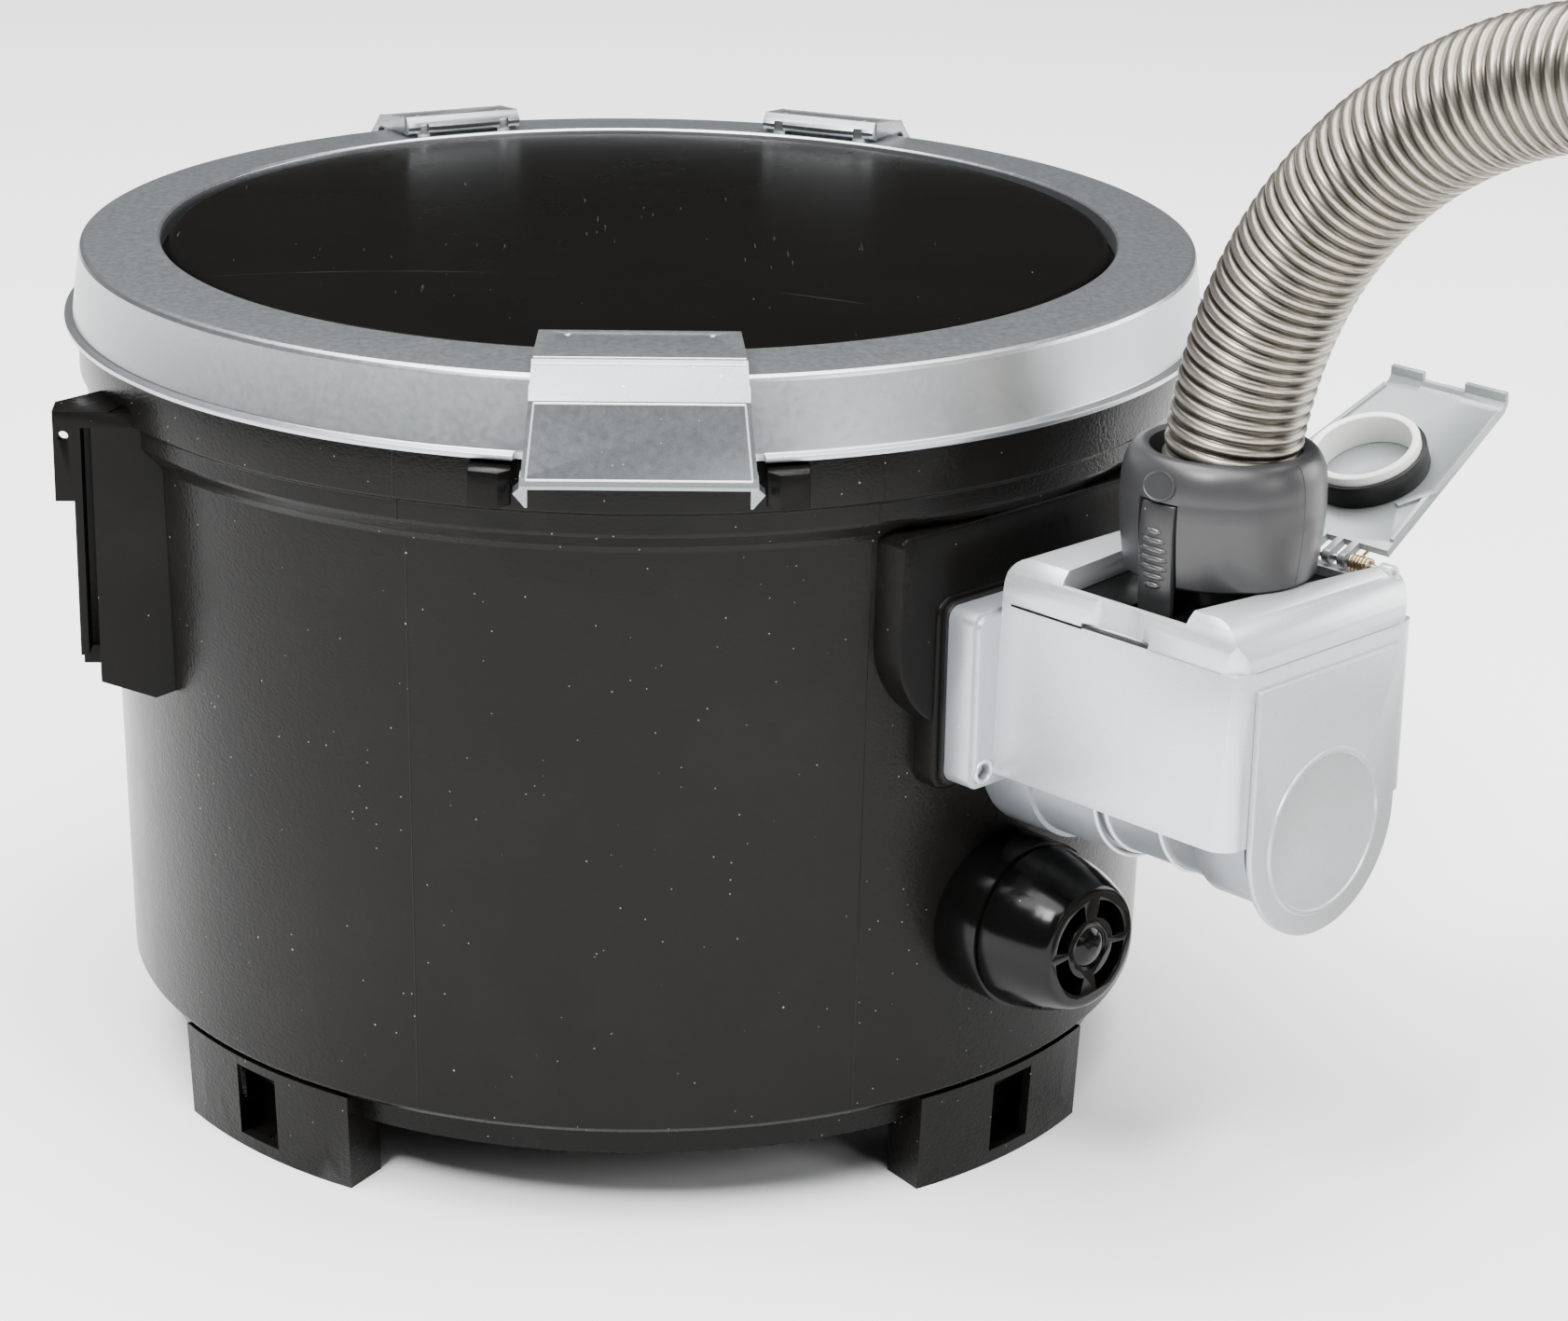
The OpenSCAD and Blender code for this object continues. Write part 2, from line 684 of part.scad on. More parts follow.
// A round bar swept along a line; side leans from over's normal to +Y so it is never along the line
module sweep(line, r, sides) {
    n = len(line);
    points = [for (i = [0:n - 1])
                  let (t = unit(line[min(i + 1, n - 1)] - line[max(i - 1, 0)]),
                       s0 = unit([0.755, 0.655, 0] * (1 - i / n) + [0, 1, 0] * (i / n)),
                       s = unit(s0 - (s0 * t) * t),
                       q = cross(t, s))
                  for (k = [0:sides - 1])
                      line[i] + r * (cos(360 * k / sides) * s + sin(360 * k / sides) * q)];
    faces = concat([[for (k = [sides - 1:-1:0]) k]],
                   [for (i = [0:n - 2], k = [0:sides - 1])
                        [i * sides + k, i * sides + (k + 1) % sides,
                         (i + 1) * sides + (k + 1) % sides, (i + 1) * sides + k]],
                   [[for (k = [0:sides - 1]) (n - 1) * sides + k]]);
    polyhedron(points, faces);
}

module hose_run() { color("#c4beb4") sweep(hose_line, hose_r - 0.3, 16); }

// Height of the top turn, lying in the groove between the two turns below it
coil_low_z = hose_r + 1;
coil_top_z = coil_low_z + sqrt(pow(hose_d + 0.2, 2) - pow(coil_pitch / 2, 2));

module at_coil() { translate([coil_centre[0], coil_centre[1], 0]) children(); }

module hose_coil() {
    color("#c4beb4")
        at_coil() {
            for (i = [0:2])
                translate([0, 0, coil_low_z])
                    rotate([0, 0, -89.8])
                        rotate_extrude(angle = i == 0 ? 314.8 : 360)
                            translate([coil_turns[i], 0]) circle(r = hose_r - 0.1, $fn = 48);
            translate([0, 0, coil_top_z])
                rotate([0, 0, 230])
                    rotate_extrude(angle = 269)
                        translate([coil_top_turn, 0]) circle(r = hose_r - 0.1, $fn = 48);
        }
}

// Cuff on the hose's other end, lying on the coil
module hose_end_cuff() {
    color("#5a5a5c")
        at_coil()
            rotate([0, 0, 140])
                translate([coil_top_turn, 0, coil_top_z + 4])
                    rotate([-87, 0, 0])
                        rotate_extrude()
                            polygon([[19.2, -2], [21, -2], [22.5, 2], [22.5, 60], [18.5, 64], [17.2, 88],
                                     [14, 88], [14, 6], [19.2, 2]]);
}

// Straps that hold the coil's turns together
module hose_ties() {
    color("#1c1c1c")
        at_coil()
            for (a = [20, 300])
                rotate([0, 0, a])
                    translate([0, 7, 0]) rotate([90, 0, 0])
                        linear_extrude(14)
                            difference() {
                                tie_outline(hose_r + 1);
                                tie_outline(hose_r);
                            }
}

module tie_outline(r) {
    rise = coil_top_z - coil_low_z;
    a = atan2(rise, coil_top_turn - coil_turns[2]);
    b = atan2(rise, coil_turns[0] - coil_top_turn);
    low = [[coil_turns[2], coil_low_z], [coil_turns[0], coil_low_z]];
    top = [coil_top_turn, coil_top_z];
    left = r * [-sin(a), cos(a)];
    right = r * [sin(b), cos(b)];
    for (c = [low[0], low[1], top]) translate(c) circle(r = r, $fn = 48);
    polygon([low[0] - [0, r], low[1] - [0, r], low[1], low[1] + right, top + right, top + left,
             low[0] + left, low[0]]);
}

// ---------------------------------------------------------------- relief valve

module at_valve() { radial(valve_az, valve_z) children(); }

module valve_seat() {
    color("#1d1c1b")
        difference() {
            union() {
                difference() {
                    at_valve() translate([0, 0, 155]) cylinder(r = 25, h = 21);
                    rotate_extrude() drum_outline();
                }
                at_valve() translate([0, 0, 150]) cylinder(r = 19, h = 26);
                at_valve() translate([0, 0, 175]) cylinder(r = 17.5, h = 12);
            }
            at_valve() {
                translate([0, 0, 140]) cylinder(r = 10, h = 60);
                translate([0, 0, 153]) cylinder(r = 15, h = 60);
            }
        }
    color("#1d1c1b")
        at_valve()
            difference() {
                union() {
                    translate([0, 0, 179]) tube(5.2, 3.06, 3);
                    for (a = [0:120:240]) rotate([0, 0, a]) box_at(4.6, 15.4, -1, 1, 179, 182);
                }
            }
}

module valve_plunger() {
    color("#6b2f28")
        at_valve()
            rotate_extrude()
                polygon([[0, 153.4], [12.4, 153.4], [12.4, 156], [3, 156], [3, 184.6], [0, 184.6]]);
}

module valve_spring() {
    color("#b8b8b4")
        at_valve()
            for (i = [0:6])
                translate([0, 0, 165.6 + 1.95 * i])
                    rotate_extrude($fn = 48) translate([6.2, 0]) circle(r = 0.6, $fn = 16);
}

module valve_cap() {
    color("#242322")
        at_valve()
            difference() {
                rotate_extrude()
                    polygon([[17.56, 176.4], [23.9, 176.4], [24.2, 177], [23.9, 180.5], [22.9, 185.5],
                             [21.5, 190.5], [19.7, 195.2], [18.4, 197.6], [17.6, 198.2], [16.6, 198.4],
                             [6.6, 198.4], [6.4, 197.8], [6, 197.6], [5.4, 198.2], [4, 199], [2, 199.6],
                             [0, 199.8], [0, 194.9], [17.56, 194.9]]);
                for (a = [6, 103, 186, 283])
                    rotate([0, 0, a]) rotate_extrude(angle = 71) translate([9.2, 190]) square([5.2, 12]);
            }
}

// ---------------------------------------------------------------- outlet and filter

module at_outlet() { radial(180, 190) children(); }

module outlet_spigot() {
    color("#2a2826") {
        difference() {
            at_outlet() translate([0, 0, 155]) cylinder(r = 33, h = 17.5);
            rotate_extrude() drum_outline();
            at_outlet() translate([0, 0, 150]) cylinder(r = 25, h = 30);
        }
        at_outlet()
            difference() {
                union() {
                    translate([0, 0, 146]) cylinder(r = 25.7, h = 28);
                    translate([0, 0, 172.5]) cylinder(r = 26, h = 32.5);
                }
                translate([0, 0, 145]) cylinder(r = 22.5, h = 62);
            }
    }
}

module outlet_nut() { color("#1d1c1b") at_outlet() translate([0, 0, 149]) tube(33, 25.74, 6); }

module filter_cage() {
    color("#d8d6cf")
        at_outlet()
            difference() {
                translate([0, 0, 88]) cylinder(r = 28.4, h = 61);
                translate([0, 0, 90.4]) cylinder(r = 26, h = 62);
                for (a = [0:45:315]) rotate([0, 0, a]) box_at(10, 40, -5, 5, 96, 138);
            }
}

module filter_sleeve() { color("#4a4f57") at_outlet() translate([0, 0, 92]) tube(36, 28.4, 54); }

drum_shell();
base_ring();
base_screws();
hang_bracket_left();
hang_bracket_right();
lid_panel();
clamp_ring();
lid_seal();
latch_pins();
latch_front();
latch_back_left();
latch_back_right();
inlet_gasket();
inlet_base();
inlet_screws();
inlet_pipe();
inlet_deflector();
inlet_housing();
inlet_cap();
front_plate();
insert_plate();
contact_pins();
flap_lid();
flap_seal_ring();
flap_seal_boot();
flap_pin();
flap_spring();
hose_nozzle();
hose_cuff();
release_button();
hose_run();
hose_coil();
hose_end_cuff();
hose_ties();
valve_seat();
valve_cap();
valve_plunger();
valve_spring();
outlet_spigot();
outlet_nut();
filter_cage();
filter_sleeve();
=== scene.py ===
import math

import bmesh
import bpy
from mathutils import Matrix, Vector


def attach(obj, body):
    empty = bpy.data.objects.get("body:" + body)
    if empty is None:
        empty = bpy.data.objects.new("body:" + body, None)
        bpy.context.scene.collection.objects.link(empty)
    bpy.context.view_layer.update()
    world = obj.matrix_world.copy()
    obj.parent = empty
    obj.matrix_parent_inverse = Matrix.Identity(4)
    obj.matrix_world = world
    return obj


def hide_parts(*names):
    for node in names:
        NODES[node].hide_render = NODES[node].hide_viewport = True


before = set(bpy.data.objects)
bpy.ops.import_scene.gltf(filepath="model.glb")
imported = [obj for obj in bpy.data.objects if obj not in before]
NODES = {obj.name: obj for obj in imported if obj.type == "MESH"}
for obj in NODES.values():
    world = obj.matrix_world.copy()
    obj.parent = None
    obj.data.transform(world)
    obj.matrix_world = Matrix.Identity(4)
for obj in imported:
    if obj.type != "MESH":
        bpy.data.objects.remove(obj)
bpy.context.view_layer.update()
cos, sin, rad = math.cos, math.sin, math.radians
COIL_X, COIL_Y = 565, -140        # centre of the hose's coil on the floor, mm


# ---------------------------------------------------------------- camera

def add_camera():
    pitch, yaw, roll = rad(19.46), rad(2.25), rad(1.11)
    ahead = Vector((sin(yaw) * cos(pitch), cos(yaw) * cos(pitch), -sin(pitch)))
    right = Vector((cos(yaw), -sin(yaw), 0))
    up = right.cross(ahead)
    x = cos(roll) * right + sin(roll) * up
    y = -sin(roll) * right + cos(roll) * up
    data = bpy.data.cameras.new("camera")
    data.sensor_width = 36
    data.lens = 90.48
    data.clip_start, data.clip_end = 0.05, 50
    cam = bpy.data.objects.new("camera", data)
    bpy.context.scene.collection.objects.link(cam)
    turned = Matrix((x, y, -ahead)).transposed().to_4x4()
    cam.matrix_world = Matrix.Translation((0, -1.1837, 0.5369)) @ turned
    bpy.context.scene.camera = cam


add_camera()


# ---------------------------------------------------------------- materials

class Mat:
    """Small builder for a procedural material, in object space and metres."""

    def __init__(self, name, rough=0.5, metallic=0.0, coat=0.0, coat_rough=0.1, spec=0.5, sheen=0.0):
        self.m = bpy.data.materials.new(name)
        self.m.use_nodes = True
        self.t = self.m.node_tree
        self.bsdf = self.t.nodes["Principled BSDF"]
        self.bsdf.inputs["Roughness"].default_value = rough
        self.bsdf.inputs["Metallic"].default_value = metallic
        self.bsdf.inputs["Coat Weight"].default_value = coat
        self.bsdf.inputs["Coat Roughness"].default_value = coat_rough
        self.bsdf.inputs["Specular IOR Level"].default_value = spec
        self.bsdf.inputs["Sheen Weight"].default_value = sheen
        self.co = self.t.nodes.new("ShaderNodeTexCoord").outputs["Object"]

    def node(self, kind, links=(), **props):
        n = self.t.nodes.new(kind)
        for k, v in props.items():
            setattr(n, k, v)
        for k, v in dict(links).items():
            if isinstance(v, bpy.types.NodeSocket):
                self.t.links.new(v, n.inputs[k])
            else:
                n.inputs[k].default_value = v
        return n

    def noise(self, scale, detail=3.0, rough=0.55, co=None):
        return self.node("ShaderNodeTexNoise", {"Vector": co or self.co, "Scale": scale, "Detail": detail,
                                                "Roughness": rough}).outputs["Fac"]

    def stretch(self, sx, sy, sz):
        return self.node("ShaderNodeMapping", {"Vector": self.co, "Scale": (sx, sy, sz)}).outputs["Vector"]

    def band(self, fac, lo, hi, out_lo=0.0, out_hi=1.0):
        return self.node("ShaderNodeMapRange", {"Value": fac, "From Min": lo, "From Max": hi, "To Min": out_lo,
                                                "To Max": out_hi}).outputs["Result"]

    def mix(self, fac, a, b):
        n = self.node("ShaderNodeMix", data_type="RGBA")
        for key, v in (("Factor", fac), ("A", a), ("B", b)):
            s = [i for i in n.inputs if i.name == key and i.type == ("VALUE" if key == "Factor" else "RGBA")][0]
            if isinstance(v, bpy.types.NodeSocket):
                self.t.links.new(v, s)
            else:
                s.default_value = v if key == "Factor" else (*v, 1)
        return [o for o in n.outputs if o.type == "RGBA"][0]

    def math(self, op, a, b=0.0):
        n = self.node("ShaderNodeMath", operation=op)
        for i, v in enumerate((a, b)):
            if isinstance(v, bpy.types.NodeSocket):
                self.t.links.new(v, n.inputs[i])
            else:
                n.inputs[i].default_value = v
        return n.outputs[0]

    def specks(self, scale, size, keep, blur=0.25):
        """Scattered dots: cells of 1/scale metres, radius size of a cell, keep as the share of cells used."""
        v = self.node("ShaderNodeTexVoronoi", {"Vector": self.co, "Scale": scale})
        dot = self.band(v.outputs["Distance"], size, size * (1 - blur))
        pick = self.node("ShaderNodeSeparateColor", {"Color": v.outputs["Color"]}).outputs[0]
        return self.math("MULTIPLY", dot, self.math("LESS_THAN", pick, keep))

    def color(self, socket):
        self.t.links.new(socket, self.bsdf.inputs["Base Color"])

    def rough(self, socket):
        self.t.links.new(socket, self.bsdf.inputs["Roughness"])

    def bump(self, layers):
        prev = None
        for fac, strength, dist in layers:
            n = self.node("ShaderNodeBump", {"Height": fac, "Strength": strength, "Distance": dist})
            if prev:
                self.t.links.new(prev, n.inputs["Normal"])
            prev = n.outputs["Normal"]
        self.t.links.new(prev, self.bsdf.inputs["Normal"])


def black_paint(name, tone, rough, peel=0.25, dust=0.06, spec=0.16, dust_tone=(0.35, 0.33, 0.30)):
    m = Mat(name, rough, spec=spec)
    cloud = m.noise(9, 4)
    base = m.mix(m.band(cloud, 0.3, 0.7), tone, tuple(c * 1.25 for c in tone))
    dots = m.specks(170, 0.055, dust)
    fine = m.specks(420, 0.09, dust * 0.6)
    film = m.band(m.noise(28, 6), 0.5, 0.8, 0, 0.006)
    base = m.mix(film, base, dust_tone)
    base = m.mix(m.math("MULTIPLY", m.math("MAXIMUM", dots, fine), 0.75), base, dust_tone)
    m.color(base)
    m.rough(m.band(m.noise(40, 4), 0.3, 0.7, rough * 0.88, rough * 1.14))
    m.bump([(m.noise(800, 2, co=m.stretch(1, 1, 1.5)), peel, 0.0003), (m.noise(260, 2), peel * 0.5, 0.0003)])
    return m.m


def silver_paint(name, tone, rough, metallic=0.75, flake=0.25, glint_share=0.02, peel=0.1, grainy=0.12):
    m = Mat(name, rough, metallic=metallic, coat=0.25, coat_rough=0.18)
    light, dark = tuple(min(1, c * (1 + grainy)) for c in tone), tuple(c * (1 - grainy) for c in tone)
    grain = m.noise(2600, 2, 0.7)
    base = m.mix(m.band(grain, 0.3, 0.7), dark, light)
    base = m.mix(m.band(m.noise(14, 4), 0.35, 0.7, 0, 0.2), base, dark)
    # painted glints: near-white specks stand for metal flakes catching the light; the flakes are real, their brightness
    # is painted
    base = m.mix(m.specks(700, 0.13, glint_share), base, (1, 1, 0.98))
    base = m.mix(m.math("MULTIPLY", m.specks(120, 0.04, 0.05), 0.6), base, tuple(c * 0.3 for c in tone))
    m.color(base)
    m.rough(m.band(m.noise(500, 3), 0.3, 0.7, rough - 0.02, rough + 0.04))
    m.bump([(grain, flake, 0.00004), (m.noise(420, 2), peel, 0.0002)])
    return m.m


def moulded(name, tone, rough, grain=0.35, scale=1500, spec=0.4):
    m = Mat(name, rough, spec=spec)
    base = m.mix(m.band(m.noise(18, 5), 0.3, 0.7), tuple(c * 0.9 for c in tone), tuple(min(1, c * 1.1) for c in tone))
    base = m.mix(m.math("MULTIPLY", m.specks(220, 0.05, 0.05), 0.5), base, (0.5, 0.48, 0.45))
    m.color(base)
    m.rough(m.band(m.noise(60, 4), 0.3, 0.7, rough * 0.9, rough * 1.12))
    m.bump([(m.noise(scale, 3), grain, 0.00008)])
    return m.m


def drawn_metal(name, tone, rough):
    m = Mat(name, rough, metallic=1.0)
    streak = m.noise(300, 3, co=m.stretch(1, 1, 9))
    m.color(m.mix(m.band(streak, 0.3, 0.7), tuple(c * 0.78 for c in tone), tone))
    m.rough(m.band(streak, 0.3, 0.7, rough * 0.8, rough * 1.3))
    m.bump([(streak, 0.3, 0.00003)])
    return m.m


def lid_material():
    m = Mat("lid_gloss", 0.28, spec=0.03)
    tone, dust = (0.0022, 0.0020, 0.0017), (0.30, 0.28, 0.26)
    base = m.mix(m.band(m.noise(7, 5), 0.3, 0.75), tone, tuple(c * 1.7 for c in tone))
    # a few long arcs and one pair of straight scratches, faint
    p = m.node("ShaderNodeMapping", {"Vector": m.co, "Location": (0.06, 0.30, 0)}).outputs["Vector"]
    flat = m.node("ShaderNodeVectorMath", {0: p, 1: (1, 1, 0)}, operation="MULTIPLY").outputs[0]
    r = m.node("ShaderNodeVectorMath", {0: flat}, operation="LENGTH").outputs["Value"]
    ring = m.band(m.math("ABSOLUTE", m.math("SUBTRACT", r, 0.245)), 0.0004, 0.0001)
    part = m.band(m.noise(16, 2), 0.5, 0.62)
    arcs = m.math("MULTIPLY", ring, part)
    hair = m.noise(60, 2, 0.4, co=m.stretch(18, 1, 1))
    hair = m.math("MULTIPLY", m.band(hair, 0.735, 0.75), m.band(m.noise(22, 2), 0.55, 0.6))
    base = m.mix(m.math("MULTIPLY", m.math("MAXIMUM", arcs, hair), 0.07), base, dust)
    base = m.mix(m.math("MULTIPLY", m.specks(95, 0.026, 0.12), 0.5), base, dust)
    base = m.mix(m.math("MULTIPLY", m.specks(300, 0.06, 0.05), 0.4), base, dust)
    m.color(base)
    m.rough(m.band(m.noise(11, 5), 0.3, 0.75, 0.25, 0.32))
    m.bump([(m.noise(700, 2), 0.12, 0.0001)])
    return m.m


def woven(name, tone):
    m = Mat(name, 0.85, sheen=0.3)
    a = m.node("ShaderNodeTexWave", {"Vector": m.co, "Scale": 260.0}, bands_direction="X").outputs["Fac"]
    b = m.node("ShaderNodeTexWave", {"Vector": m.co, "Scale": 260.0}, bands_direction="Z").outputs["Fac"]
    w = m.math("MULTIPLY", a, b)
    m.color(m.mix(w, tuple(c * 0.6 for c in tone), tuple(min(1, c * 1.8) for c in tone)))
    m.bump([(w, 0.6, 0.0003)])
    return m.m


def foam(name, tone):
    m = Mat(name, 0.95, sheen=0.4)
    v = m.node("ShaderNodeTexVoronoi", {"Vector": m.co, "Scale": 700.0}).outputs["Distance"]
    m.color(m.mix(m.band(v, 0.1, 0.6), tuple(c * 0.4 for c in tone), tuple(c * 1.5 for c in tone)))
    m.bump([(v, 0.8, 0.0006)])
    return m.m


def hose_material(name="hose_champagne", tone=(0.43, 0.395, 0.335)):
    m = Mat(name, 0.3, metallic=0.85, coat=0.1, coat_rough=0.2)
    grain = m.noise(2400, 2, 0.7)
    base = m.mix(m.band(grain, 0.3, 0.7), tuple(c * 0.72 for c in tone), tone)
    base = m.mix(m.band(m.noise(22, 4), 0.4, 0.75, 0, 0.3), base, tuple(c * 0.55 for c in tone))
    m.color(base)
    m.rough(m.band(m.noise(90, 3), 0.3, 0.7, 0.28, 0.35))
    m.bump([(grain, 0.15, 0.00004)])
    return m.m


M = {
    "drum": black_paint("drum_paint", (0.0050, 0.0046, 0.0042), 0.24, peel=0.42, dust=0.24, spec=0.09),
    "base": black_paint("base_plastic", (0.0042, 0.0039, 0.0035), 0.26, peel=0.5, dust=0.18, spec=0.10),
    "bracket": black_paint("bracket_black", (0.0032, 0.0029, 0.0026), 0.28, peel=0.15, dust=0.08, spec=0.07),
    "lid": lid_material(),
    "ring": silver_paint("ring_silver", (0.46, 0.488, 0.502), 0.30, metallic=0.94, glint_share=0.004, flake=0.06,
                         grainy=0.05, peel=0.05),
    "latch": silver_paint("latch_silver", (0.225, 0.242, 0.25), 0.34, metallic=0.9, glint_share=0.04, flake=0.3, grainy=0.16),
    # far lighter than the latch silver: painted highlight for the latch's raised lines
    "latch_line": silver_paint("latch_line", (0.74, 0.76, 0.77), 0.3, metallic=0.6, glint_share=0.01, flake=0.1),
    "box": silver_paint("box_silver", (0.60, 0.625, 0.645), 0.36, metallic=0.6, glint_share=0.004, flake=0.15),
    "pipe": silver_paint("pipe_silver", (0.26, 0.285, 0.30), 0.38, metallic=0.55, glint_share=0.002),
    "mount": silver_paint("mount_silver", (0.42, 0.445, 0.465), 0.38, metallic=0.65, glint_share=0.003, flake=0.15),
    "plate": silver_paint("plate_silver", (0.46, 0.485, 0.505), 0.42, metallic=0.55, glint_share=0.003, flake=0.15),
    "flap": silver_paint("flap_grey", (0.235, 0.26, 0.262), 0.36, metallic=0.3, glint_share=0.002, flake=0.15),
    "white": moulded("seal_white", (0.80, 0.79, 0.77), 0.4, grain=0.2),
    "rubber": moulded("seal_rubber", (0.006, 0.006, 0.006), 0.4, grain=0.4, spec=0.25),
    "insert": moulded("insert_black", (0.003, 0.003, 0.003), 0.2, grain=0.2, spec=0.2),
    "cuff": moulded("cuff_grey", (0.0225, 0.0225, 0.024), 0.36, grain=0.35, spec=0.5),
    # lighter than the tongue's grey: partly painted highlight on the ribs; its lower roughness and higher specular are
    # real
    "rib": moulded("rib_grey_painted_highlight", (0.036, 0.036, 0.037), 0.24, grain=0.1, spec=0.7),
    "tongue": moulded("tongue_grey", (0.024, 0.024, 0.025), 0.32, grain=0.3),
    "valve": moulded("valve_black", (0.0022, 0.0021, 0.002), 0.16, grain=0.04, scale=900, spec=0.16),
    "inner": moulded("inner_black", (0.02, 0.019, 0.018), 0.45),
    "cage": moulded("cage_ivory", (0.62, 0.60, 0.55), 0.5),
    "poppet": moulded("poppet_red", (0.2, 0.045, 0.03), 0.5),
    "steel": drawn_metal("pin_steel", (0.66, 0.66, 0.64), 0.28),
    "zinc": drawn_metal("screw_zinc", (0.50, 0.50, 0.48), 0.38),
    "brass": drawn_metal("brass_wire", (0.62, 0.50, 0.32), 0.3),
    "strap": woven("strap_black", (0.03, 0.03, 0.03)),
    "foam": foam("foam_grey", (0.10, 0.11, 0.13)),
    "hose": hose_material(),
    # darker copies of the hose colour for the corrugation flanks and grooves: painted shade
    "flank_shade": hose_material("hose_flank_painted_shade", (0.235, 0.212, 0.175)),
    "groove": hose_material("hose_groove", (0.085, 0.076, 0.062)),
}


# ---------------------------------------------------------------- mesh helpers (millimetres in, metres out)

def turn_z(deg):
    return Matrix.Rotation(rad(deg), 4, "Z")


def shift(x, y, z):
    return Matrix.Translation((x, y, z))


INLET = turn_z(42.5 - 90) @ shift(0, 12, 0)          # +X out along the inlet box, +Y across it


def build(name, verts, faces, mat, body, slot, replaces=(), place=None, bevel=0.0, seg=2, angle=30, merge=1e-4):
    bm = bmesh.new()
    vs = [bm.verts.new(v) for v in verts]
    for f in faces:
        try:
            bm.faces.new([vs[i] for i in f])
        except ValueError:
            pass
    bmesh.ops.remove_doubles(bm, verts=bm.verts, dist=merge)
    bmesh.ops.dissolve_degenerate(bm, edges=bm.edges, dist=merge)
    bmesh.ops.recalc_face_normals(bm, faces=bm.faces)
    me = bpy.data.meshes.new(name)
    bm.to_mesh(me)
    bm.free()
    me.transform(Matrix.Scale(0.001, 4) @ (place or Matrix.Identity(4)))
    return settle(name, me, mat, body, replaces, bevel, seg, angle)


def settle(name, me, mat, body, replaces=(), bevel=0.0, seg=2, angle=30):
    ob = bpy.data.objects.new(name, me)
    bpy.context.scene.collection.objects.link(ob)
    me.materials.clear()
    me.materials.append(M[mat])
    for p in me.polygons:
        p.use_smooth = True
        p.material_index = 0
    if bevel:
        mod = ob.modifiers.new("edge", "BEVEL")
        mod.width = bevel * 0.001
        mod.segments = seg
        mod.limit_method = "ANGLE"
        mod.angle_limit = rad(angle)
        mod.use_clamp_overlap = True
        mod.harden_normals = False
        dg = bpy.context.evaluated_depsgraph_get()
        baked = bpy.data.meshes.new_from_object(ob.evaluated_get(dg))
        ob.modifiers.clear()
        ob.data = baked
        me = baked
    me.set_sharp_from_angle(angle=rad(angle))
    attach(ob, body)
    if replaces:
        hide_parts(*([replaces] if isinstance(replaces, str) else replaces))
    return ob


def soften(node, mat, body, bevel=0.5, seg=2, angle=30, reshape=None):
    """A finer copy of a CAD node: coplanar triangles joined, edges rounded. It stands for the node."""
    me = NODES[node].data.copy()
    bm = bmesh.new()
    bm.from_mesh(me)
    bmesh.ops.remove_doubles(bm, verts=bm.verts, dist=2e-6)
    bmesh.ops.dissolve_limit(bm, angle_limit=rad(0.4), verts=bm.verts, edges=bm.edges)
    bmesh.ops.dissolve_degenerate(bm, edges=bm.edges, dist=2e-6)
    if reshape:
        for v in bm.verts:
            v.co = reshape(v.co)
    bm.to_mesh(me)
    bm.free()
    return settle("v_" + node, me, mat, body, node, bevel, seg, angle)


def rounded(points, radii, steps=5):
    """A closed 2D outline with arcs at its corners. radii maps a point's index to its radius."""
    out, n = [], len(points)
    for i, p in enumerate(points):
        r = radii.get(i, 0) if isinstance(radii, dict) else radii
        p, a, b = Vector(p), Vector(points[i - 1]), Vector(points[(i + 1) % n])
        da, db = a - p, b - p
        la, lb = da.length, db.length
        if r <= 0 or la < 1e-6 or lb < 1e-6:
            out.append(tuple(p))
            continue
        da, db = da / la, db / lb
        half = math.acos(max(-1, min(1, da.dot(db)))) / 2
        if half > rad(89):
            out.append(tuple(p))
            continue
        t = min(r / math.tan(half), la * 0.48, lb * 0.48)
        r = t * math.tan(half)
        c = p + (da + db).normalized() * (r / sin(half))
        v0, v1 = p + da * t - c, p + db * t - c
        for k in range(steps + 1):
            f = k / steps
            v = v0.normalized().slerp(v1.normalized(), f) if v0.length > 1e-9 else v0
            out.append(tuple(c + v * r))
    return out


def lathe(prof, n=256, a0=0.0, a1=360.0, warp=None):
    """Turns a closed (r, z) outline round Z. warp(angle, r, z) may move a point at one angle."""
    full = abs(a1 - a0 - 360) < 1e-6
    angles = [a0 + (a1 - a0) * i / n for i in range(n if full else n + 1)]
    m = len(prof)
    verts = []
    for a in angles:
        for r, z in prof:
            rr, zz = warp(a, r, z) if warp else (r, z)
            verts.append((rr * sin(rad(a)), -rr * cos(rad(a)), zz))
    faces = []
    rows = len(angles)
    for i in range(rows if full else rows - 1):
        j = (i + 1) % rows
        for k in range(m):
            l = (k + 1) % m
            faces.append((i * m + k, j * m + k, j * m + l, i * m + l))
    if not full:
        faces.append(tuple(range(m)))
        faces.append(tuple((rows - 1) * m + k for k in reversed(range(m))))
    return verts, faces


def prism(outline, lo, hi, axis="z", taper=None):
    """Extrudes a 2D outline: along z as (x, y), along x as (y, z), along y as (x, z)."""
    n = len(outline)
    put = {"z": lambda p, h: (p[0], p[1], h),
           "x": lambda p, h: (h, p[0], p[1]),
           "y": lambda p, h: (p[0], h, p[1])}[axis]
    top = taper or outline
    verts = [put(p, lo) for p in outline] + [put(p, hi) for p in top]
    faces = [tuple(range(n)), tuple(range(2 * n - 1, n - 1, -1))]
    faces += [(i, (i + 1) % n, n + (i + 1) % n, n + i) for i in range(n)]
    return verts, faces


